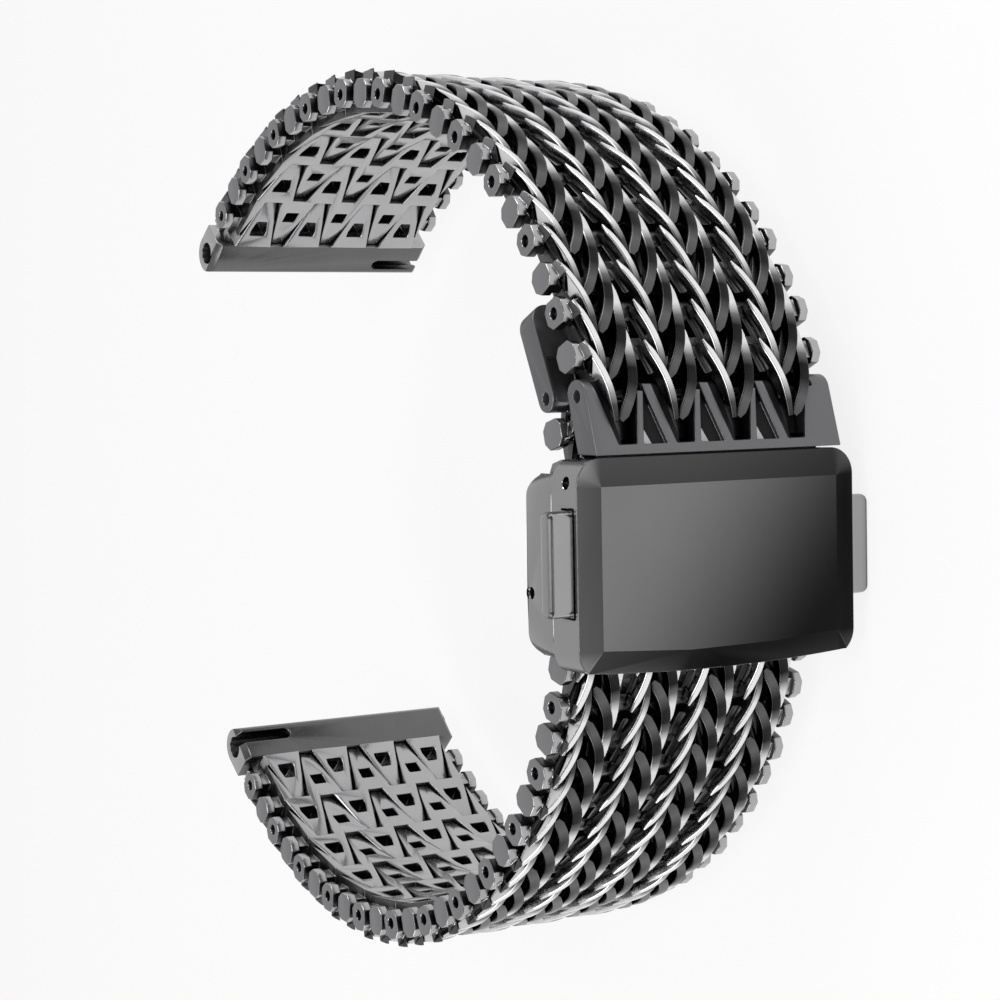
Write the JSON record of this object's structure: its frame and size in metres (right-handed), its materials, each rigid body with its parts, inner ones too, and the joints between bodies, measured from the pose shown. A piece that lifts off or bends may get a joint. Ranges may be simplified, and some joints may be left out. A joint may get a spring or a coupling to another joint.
{
  "type": "magnetic link watch band",
  "caption": "Curved watch band of hinged herringbone links with lug ends, a fork, a tail plate and a boxy double button magnetic clasp, lying on its side.",
  "frame": {"origin": "middle of the clasp cover's flat outer face", "axes": "+X along the clasp towards the fork, +Y in from the cover's face towards the wrist and the watch, +Z across the band, the band lying on its side"},
  "size_m": [0.0726, 0.0659, 0.0288],
  "materials": {
    "strap_steel": "polished gun metal plating",
    "clasp_steel": "satin gun metal plating with polished bevels",
    "liner_steel": "satin",
    "pin_steel": "ground",
    "spring_steel": "drawn wire",
    "magnet": "nickel plated"
  },
  "bodies": {
    "base": {"clasp_base": "clasp_steel", "base_magnets": "magnet", "flap_pin": "pin_steel", "lower_link_12": "strap_steel", "lower_link_13": "strap_steel", "lower_link_14": "strap_steel", "lower_link_15": "strap_steel"},
    "flap": {"locking_flap": "clasp_steel"},
    "cover": {"clasp_cover": "clasp_steel", "cover_liner": "liner_steel", "cover_magnets": "magnet", "cover_pin": "pin_steel", "button_spring_left": "spring_steel", "button_spring_right": "spring_steel"},
    "left_button": {"button_left": "clasp_steel"},
    "right_button": {"button_right": "clasp_steel"},
    "fork": {"fork_link": "clasp_steel", "fork_pin": "pin_steel"},
    "upper_01": {"upper_link_01": "strap_steel"},
    "upper_02": {"upper_link_02": "strap_steel"},
    "upper_03": {"upper_link_03": "strap_steel"},
    "upper_04": {"upper_link_04": "strap_steel"},
    "upper_05": {"upper_link_05": "strap_steel"},
    "upper_06": {"upper_link_06": "strap_steel"},
    "upper_07": {"upper_link_07": "strap_steel"},
    "upper_08": {"upper_link_08": "strap_steel"},
    "upper_09": {"upper_link_09": "strap_steel"},
    "upper_10": {"upper_link_10": "strap_steel"},
    "upper_11": {"upper_link_11": "strap_steel"},
    "upper_lug": {"upper_lug_end": "strap_steel"},
    "lower_11": {"lower_link_11": "strap_steel"},
    "lower_10": {"lower_link_10": "strap_steel"},
    "lower_09": {"lower_link_09": "strap_steel"},
    "lower_08": {"lower_link_08": "strap_steel"},
    "lower_07": {"lower_link_07": "strap_steel"},
    "lower_06": {"lower_link_06": "strap_steel"},
    "lower_05": {"lower_link_05": "strap_steel"},
    "lower_04": {"lower_link_04": "strap_steel"},
    "lower_03": {"lower_link_03": "strap_steel"},
    "lower_02": {"lower_link_02": "strap_steel"},
    "lower_01": {"lower_link_01": "strap_steel"},
    "lower_lug": {"lower_lug_end": "strap_steel"},
    "tail": {"tail_plate": "clasp_steel", "tail_pin": "pin_steel", "tail_magnets": "magnet"}
  },
  "joints": [
    {"name": "cover_lift", "type": "slide", "parent": "base", "child": "cover", "axis": [0, -1, 0], "range_m": [0, 0.005]},
    {"name": "left_button_press", "type": "slide", "parent": "cover", "child": "left_button", "axis": [0, 0, -1], "range_m": [0, 0.0005], "stiffness_N_per_m": 600, "springref_m": -0.0015, "deforming": ["button_spring_left"]},
    {"name": "right_button_press", "type": "slide", "parent": "cover", "child": "right_button", "axis": [0, 0, 1], "range_m": [0, 0.0005], "stiffness_N_per_m": 600, "springref_m": -0.0015, "deforming": ["button_spring_right"]},
    {"name": "flap_open", "type": "hinge", "parent": "base", "child": "flap", "pos_m": [-0.00175, 0.00653, 0], "axis": [0, 0, 1], "range_deg": [0, 90]},
    {"name": "fork_pivot", "type": "hinge", "parent": "cover", "child": "fork", "pos_m": [0.0063, 0.00175, 0], "axis": [0, 0, 1], "range_deg": [-5, 0]},
    {"name": "tail_pivot", "type": "hinge", "parent": "base", "child": "tail", "pos_m": [0.01212, 0.00623, 0], "axis": [0, 0, 1], "range_deg": [-5, 20]},
    {"name": "upper_hinge_01", "type": "hinge", "parent": "fork", "child": "upper_01", "pos_m": [0.0123, 0.00235, 0], "axis": [0, 0, 1], "range_deg": [-10, 1]},
    {"name": "upper_hinge_02", "type": "hinge", "parent": "upper_01", "child": "upper_02", "pos_m": [0.01818, 0.005, 0], "axis": [0, 0, 1], "range_deg": [-10, 3]},
    {"name": "upper_hinge_03", "type": "hinge", "parent": "upper_02", "child": "upper_03", "pos_m": [0.02351, 0.00864, 0], "axis": [0, 0, 1], "range_deg": [-10, 3]},
    {"name": "upper_hinge_04", "type": "hinge", "parent": "upper_03", "child": "upper_04", "pos_m": [0.02812, 0.01314, 0], "axis": [0, 0, 1], "range_deg": [-10, 3]},
    {"name": "upper_hinge_05", "type": "hinge", "parent": "upper_04", "child": "upper_05", "pos_m": [0.03189, 0.01838, 0], "axis": [0, 0, 1], "range_deg": [-10, 3]},
    {"name": "upper_hinge_06", "type": "hinge", "parent": "upper_05", "child": "upper_06", "pos_m": [0.03468, 0.02419, 0], "axis": [0, 0, 1], "range_deg": [-10, 3]},
    {"name": "upper_hinge_07", "type": "hinge", "parent": "upper_06", "child": "upper_07", "pos_m": [0.03643, 0.0304, 0], "axis": [0, 0, 1], "range_deg": [-10, 3]},
    {"name": "upper_hinge_08", "type": "hinge", "parent": "upper_07", "child": "upper_08", "pos_m": [0.03707, 0.03682, 0], "axis": [0, 0, 1], "range_deg": [-10, 3]},
    {"name": "upper_hinge_09", "type": "hinge", "parent": "upper_08", "child": "upper_09", "pos_m": [0.03659, 0.04325, 0], "axis": [0, 0, 1], "range_deg": [-10, 3]},
    {"name": "upper_hinge_10", "type": "hinge", "parent": "upper_09", "child": "upper_10", "pos_m": [0.03499, 0.0495, 0], "axis": [0, 0, 1], "range_deg": [-10, 3]},
    {"name": "upper_hinge_11", "type": "hinge", "parent": "upper_10", "child": "upper_11", "pos_m": [0.03234, 0.05538, 0], "axis": [0, 0, 1], "range_deg": [-10, 3]},
    {"name": "upper_hinge_12", "type": "hinge", "parent": "upper_11", "child": "upper_lug", "pos_m": [0.0287, 0.06071, 0], "axis": [0, 0, 1], "range_deg": [-10, 3]},
    {"name": "lower_hinge_12", "type": "hinge", "parent": "base", "child": "lower_11", "pos_m": [-0.01012, 0.00623, 0], "axis": [0, 0, -1], "range_deg": [-10, 3]},
    {"name": "lower_hinge_11", "type": "hinge", "parent": "lower_11", "child": "lower_10", "pos_m": [-0.01525, 0.00865, 0], "axis": [0, 0, -1], "range_deg": [-10, 3]},
    {"name": "lower_hinge_10", "type": "hinge", "parent": "lower_10", "child": "lower_09", "pos_m": [-0.01988, 0.01192, 0], "axis": [0, 0, -1], "range_deg": [-10, 3]},
    {"name": "lower_hinge_09", "type": "hinge", "parent": "lower_09", "child": "lower_08", "pos_m": [-0.02386, 0.01596, 0], "axis": [0, 0, -1], "range_deg": [-10, 3]},
    {"name": "lower_hinge_08", "type": "hinge", "parent": "lower_08", "child": "lower_07", "pos_m": [-0.02707, 0.02063, 0], "axis": [0, 0, -1], "range_deg": [-10, 3]},
    {"name": "lower_hinge_07", "type": "hinge", "parent": "lower_07", "child": "lower_06", "pos_m": [-0.02941, 0.0258, 0], "axis": [0, 0, -1], "range_deg": [-10, 3]},
    {"name": "lower_hinge_06", "type": "hinge", "parent": "lower_06", "child": "lower_05", "pos_m": [-0.03082, 0.03129, 0], "axis": [0, 0, -1], "range_deg": [-10, 3]},
    {"name": "lower_hinge_05", "type": "hinge", "parent": "lower_05", "child": "lower_04", "pos_m": [-0.03124, 0.03694, 0], "axis": [0, 0, -1], "range_deg": [-10, 3]},
    {"name": "lower_hinge_04", "type": "hinge", "parent": "lower_04", "child": "lower_03", "pos_m": [-0.03066, 0.04258, 0], "axis": [0, 0, -1], "range_deg": [-10, 3]},
    {"name": "lower_hinge_03", "type": "hinge", "parent": "lower_03", "child": "lower_02", "pos_m": [-0.0291, 0.04804, 0], "axis": [0, 0, -1], "range_deg": [-10, 3]},
    {"name": "lower_hinge_02", "type": "hinge", "parent": "lower_02", "child": "lower_01", "pos_m": [-0.02661, 0.05313, 0], "axis": [0, 0, -1], "range_deg": [-10, 3]},
    {"name": "lower_hinge_01", "type": "hinge", "parent": "lower_01", "child": "lower_lug", "pos_m": [-0.02327, 0.05771, 0], "axis": [0, 0, -1], "range_deg": [-10, 3]}
  ]
}
